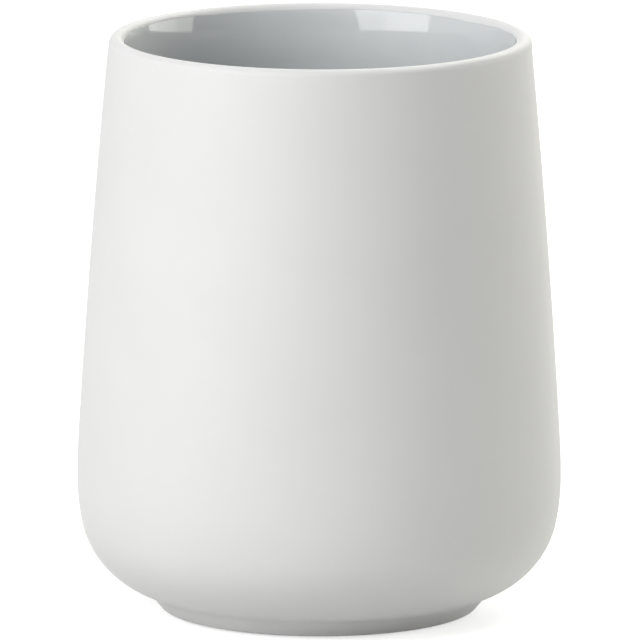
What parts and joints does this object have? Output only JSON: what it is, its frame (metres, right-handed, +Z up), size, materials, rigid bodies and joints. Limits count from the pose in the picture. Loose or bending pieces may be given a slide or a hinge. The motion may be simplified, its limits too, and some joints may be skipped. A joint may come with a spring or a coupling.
{
  "type": "bathroom tumbler",
  "caption": "White ceramic bathroom tumbler with a full low belly, a wall that leans in to a rounded lip, a glossy inside, a matt outside and a small tapered foot.",
  "frame": {"origin": "middle of the surface that the tumbler stands on", "axes": "+Z up along the turning axis, X and Y level and alike"},
  "size_m": [0.0834, 0.0834, 0.1],
  "materials": {
    "biscuit_ceramic": "fired, ground on the standing ring",
    "gloss_glaze": "gloss",
    "soft_touch_lacquer": "sprayed, matt, soft to the touch",
    "clear_silicone": "moulded, translucent"
  },
  "bodies": {
    "root": {"ceramic_body": "biscuit_ceramic", "inner_glaze": "gloss_glaze", "soft_touch_coat": "soft_touch_lacquer", "underside_glaze": "gloss_glaze", "foot_ring_pad": "clear_silicone"}
  },
  "joints": []
}
